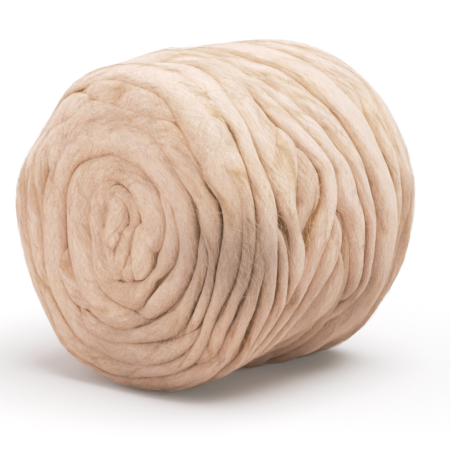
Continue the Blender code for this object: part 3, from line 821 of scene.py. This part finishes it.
# Strengths of the surroundings: everywhere, and more from three sides.
LIGHT_EVERYWHERE = 0.04
SOFT_SIDES = (  # the way towards each, and its strength
    ((0.0, 0.0, 1.0), 1.00),
    ((-0.720, -0.690, 0.08), 1.5),
    ((0.863, 0.504, 0.0), 0.20),
)
SOFTNESS = 1.5  # how fast each of those fades to its edge
WARM_LOW = (0.955, 0.965, 0.965)  # their colour low down
COOL_HIGH = (0.92, 1.0, 1.10)  # and overhead
RIGHT_TINT = (0.70, 0.98, 0.90)  # times that, from the right
SUN_STRENGTH = 4.10
SUN_PLACE = (0.8, 0.32, 2.7)  # m, from there to its target
SUN_TARGET = (0, 0, 0.1)
SUN_WIDTH = math.radians(52)  # wide, for soft shadows
SUN_COLOUR = (0.905, 1.0, 1.095)
# Light in the scene, then in the picture: gentle highlights, deeper shadows.
TONES = ((0.0, 0.0), (0.1, 0.07), (0.2, 0.155), (0.3, 0.255), (0.4, 0.365), (0.5, 0.475),
         (0.6, 0.575), (0.7, 0.657), (0.8, 0.725), (0.9, 0.782), (1.0, 0.83), (1.1, 0.876),
         (1.2, 0.925), (1.3, 0.98), (1.34, 1.0))
FLOOR_REACH = 14.0  # m
FLOOR_COLOUR = (0.648, 0.578, 0.547, 1.0)
FLOOR_GLOW_COLOUR = (0.55, 0.58, 0.57, 1.0)
FLOOR_GLOW = 0.24  # so that the shadow under the ball stays light


def camera():
    """The photograph's viewing angle and framing."""
    data = bpy.data.cameras.new("camera")
    data.lens = CAMERA_LENS
    data.sensor_width = 36.0
    data.shift_x, data.shift_y = CAMERA_SHIFT
    eye = placed("camera", data)
    azimuth, elevation = math.radians(CAMERA_AZIMUTH), math.radians(CAMERA_ELEVATION)
    back = Vector((math.sin(azimuth) * math.cos(elevation),
                   -math.cos(azimuth) * math.cos(elevation), math.sin(elevation)))
    eye.location = Vector(CAMERA_TARGET) + CAMERA_DISTANCE * back
    eye.rotation_euler = back.to_track_quat('Z', 'Y').to_euler()
    bpy.context.scene.camera = eye


def sun():
    """A wide, soft light from above."""
    data = bpy.data.lights.new("soft_top", 'SUN')
    data.energy = SUN_STRENGTH
    data.angle = SUN_WIDTH
    data.color = SUN_COLOUR
    light = placed("soft_top", data)
    light.location = SUN_PLACE
    aim = Vector(SUN_PLACE) - Vector(SUN_TARGET)
    light.rotation_euler = aim.to_track_quat('Z', 'Y').to_euler()


def studio():
    """A pale floor, a soft light from above, the surroundings and the picture's tones."""
    mesh = bpy.data.meshes.new("floor")
    corners = ((-1, -1), (1, -1), (1, 1), (-1, 1))
    mesh.from_pydata([(x * FLOOR_REACH, y * FLOOR_REACH, 0) for x, y in corners],
                     [], [(0, 1, 2, 3)])
    floor = placed("floor", mesh)
    material, _, shader = new_material("floor_pale")
    shader.inputs["Base Color"].default_value = FLOOR_COLOUR
    shader.inputs["Emission Color"].default_value = FLOOR_GLOW_COLOUR
    shader.inputs["Emission Strength"].default_value = FLOOR_GLOW
    shader.inputs["Roughness"].default_value = 1.0
    shader.inputs["Specular IOR Level"].default_value = 0.0
    mesh.materials.append(material)
    surroundings()
    sun()
    view = bpy.context.scene.view_settings
    view.view_transform = 'Standard'
    view.use_curve_mapping = True
    mapping = view.curve_mapping
    mapping.clip_max_x = TONES[-1][0]
    tones = mapping.curves[3]  # the one for all three colours
    tones.points[-1].location = TONES[-1]
    for tone in TONES[1:-1]:
        tones.points.new(*tone)
    mapping.update()


def facing(tree, source, way):
    """How far a direction points along a way, from 0 to 1, with a soft edge."""
    dot = tree.nodes.new("ShaderNodeVectorMath")
    dot.operation = 'DOT_PRODUCT'
    dot.inputs[1].default_value = way
    tree.links.new(source, dot.inputs[0])
    above = tree.nodes.new("ShaderNodeClamp")
    tree.links.new(dot.outputs["Value"], above.inputs["Value"])
    return maths(tree, 'POWER', above.outputs[0], SOFTNESS)


def surroundings():
    """A pale room, brighter overhead and to the camera's left, and a little to its right."""
    world = bpy.data.worlds.new("studio")
    world.use_nodes = True
    tree = world.node_tree
    sky = tree.nodes["Background"]
    way = tree.nodes.new("ShaderNodeTexCoord").outputs["Generated"]
    sides = [(facing(tree, way, towards), power) for towards, power in SOFT_SIDES]
    strength = maths(tree, 'ADD', weighted(tree, *sides), LIGHT_EVERYWHERE)
    tree.links.new(strength, sky.inputs["Strength"])
    colour = ramp(tree, sides[0][0], ((0.0, WARM_LOW), (0.6, COOL_HIGH)))
    tint = ramp(tree, sides[2][0], ((0.0, (1, 1, 1)), (0.5, RIGHT_TINT)))
    tree.links.new(blended(tree, 'MULTIPLY', 1.0, colour, tint), sky.inputs["Color"])
    bpy.context.scene.world = world


# --- the pieces ---
def wound_strands(lays, form, seed):
    """The rings of every lay in a table."""
    strands = []
    for number, (name, stations) in enumerate(lays):
        path = wound_path(stations, form.step)
        strands.append(lay_rows(path, form, name not in NOT_TUCKED, seed + 10 * number))
    return strands


def far_lays():
    """The coil on the far end, from near its middle out to the rim, and what lies over it."""
    length = ARC[-1]
    pitch = (length - FAR_COIL_PLACE) / FAR_TURNS
    half = pitch * FAR_COIL_LAP / 2
    sway, swing = FAR_COIL_SWAY
    stations = []
    for angle in range(0, FAR_TURNS * 360 + 1, FAR_COIL_STEP):
        turns = angle / 360
        place = length - FAR_COIL_HEART - pitch * turns
        place += sway * math.sin(swing * turns)
        stations.append((angle, place - half, place + half))
    lays = [("far_coil", stations)]
    for name, width, lift, spots in FAR_OVER_LAYS:
        lays.append((name, [(angle, length - out - width / 2, length - out + width / 2, lift)
                            for angle, out in spots]))
    return lays


def skin(material):
    """The lays underneath, as one furrowed skin that closes what shows between two lays."""
    angle = np.arange(-90, 270, SKIN_STEP)[None, :]
    place = np.linspace(2, ARC[-1] - 2, SKIN_ROWS)[:, None]
    hollow = 0
    for turn, spot, along, across, depth in HOLLOWS:
        away = ((angle - turn) / along) ** 2 + ((place - spot) / across) ** 2
        hollow = hollow + depth * np.exp(-away)
    furrow = 1 - np.abs(np.cos(math.pi * (place / SKIN_PITCH + angle / 360)))
    furrow = furrow * np.exp(-hollow / HOLLOW_SMOOTH)
    grid = on_ball(angle, place, -SKIN_DEPTH - SKIN_FURROW * furrow ** 2 - hollow)
    # Painted crease shade, more in the furrows and hollows.
    least, in_furrow, in_hollow, most = SKIN_TINT
    flank = np.minimum(least + in_furrow * furrow + in_hollow * hollow, most)
    along = np.broadcast_to(angle * SKIN_GIRTH, furrow.shape)
    across = np.broadcast_to(place, furrow.shape)
    roving_piece("lays_underneath", [(grid, along, across, flank)], material)


def stray_fibres(seed):
    """Fine hairs that stand a little off the wool, each a thin three-sided tube."""
    chance = np.random.default_rng(seed)
    column = (HAIRS, 1)  # a row for each hair
    place = np.interp(chance.uniform(0, 1, column), AREA / AREA[-1], ARC)
    angle = chance.uniform(0, 360, column)
    length = chance.uniform(*HAIR_LENGTH, column)
    twists, spread = HAIR_LEAN
    lean = TWIST * twists + chance.normal(0, spread, column)
    bend = chance.normal(0, HAIR_BEND, column)
    rise = chance.gamma(*HAIR_RISE, column)
    share = np.linspace(0, 1, HAIR_RINGS)
    way = lean + bend * (share - 0.5)
    step = length / (HAIR_RINGS - 1)
    sideways = np.cumsum(-np.sin(way) * step, axis=1)
    onward = np.cumsum(np.cos(way) * step, axis=1)
    radius = np.maximum(np.interp(place, ARC, RADIUS), HAIR_POLE)
    at_place = place + sideways
    at_angle = angle + np.degrees(onward / radius)
    height = rise * np.sin(math.pi * share * HAIR_ARCH) - HAIR_ROOT
    middle = on_ball(at_angle, at_place, height) * 1000
    ahead = np.gradient(middle, axis=1)
    ahead /= np.linalg.norm(ahead, axis=2, keepdims=True)
    out = on_ball(at_angle, at_place, height + 1) * 1000 - middle
    across = np.cross(ahead, out)
    across /= np.linalg.norm(across, axis=2, keepdims=True)
    out = np.cross(across, ahead)
    growth, least = HAIR_TIP
    thin = HAIR_THICKNESS / 2 * np.sqrt(np.clip(np.minimum(share, 1 - share) * growth, least, 1))
    rings = []
    for corner in (0, 1, 2):
        turn = math.tau * corner / 3
        side = math.cos(turn) * across + math.sin(turn) * out
        rings.append(middle + thin[:, None] * side)
    tubes = np.stack(rings, axis=2) / 1000
    hairs = []
    for k in range(HAIRS):
        along = np.broadcast_to(share[:, None] * length[k], (HAIR_RINGS, 3))
        # 3.0 * k gives each hair a tone of its own.
        hairs.append((tubes[k], along, along * 0 + 3.0 * k, along * 0))
    return hairs


def roving_ball():
    """Every piece of the ball."""
    wool = roving_wool()
    stray = stray_wool()
    folds = [flat_rows(fold, FOLD_FORM, 900 + 10 * k) for k, fold in enumerate(CENTRE_FOLDS)]
    near = wound_strands(NEAR_END_LAYS, NEAR_FORM, 100)
    side = wound_strands(SIDE_LAYS, SIDE_FORM, 300)
    far = wound_strands(far_lays(), FAR_FORM, 600)
    far.append(flat_rows(FAR_HEART, FOLD_FORM, 990, far=True))
    roving_piece("near_end_lays", near, wool)
    roving_piece("near_end_middle", folds, wool)
    roving_piece("side_lays_a", side[:5], wool)
    roving_piece("side_lays_b", side[5:11], wool)
    roving_piece("side_lays_c", side[11:], wool)
    roving_piece("far_end_lays", far, wool)
    skin(wool)
    roving_piece("stray_fibres_a", stray_fibres(71), stray)
    roving_piece("stray_fibres_b", stray_fibres(72), stray)


camera()
studio()
roving_ball()
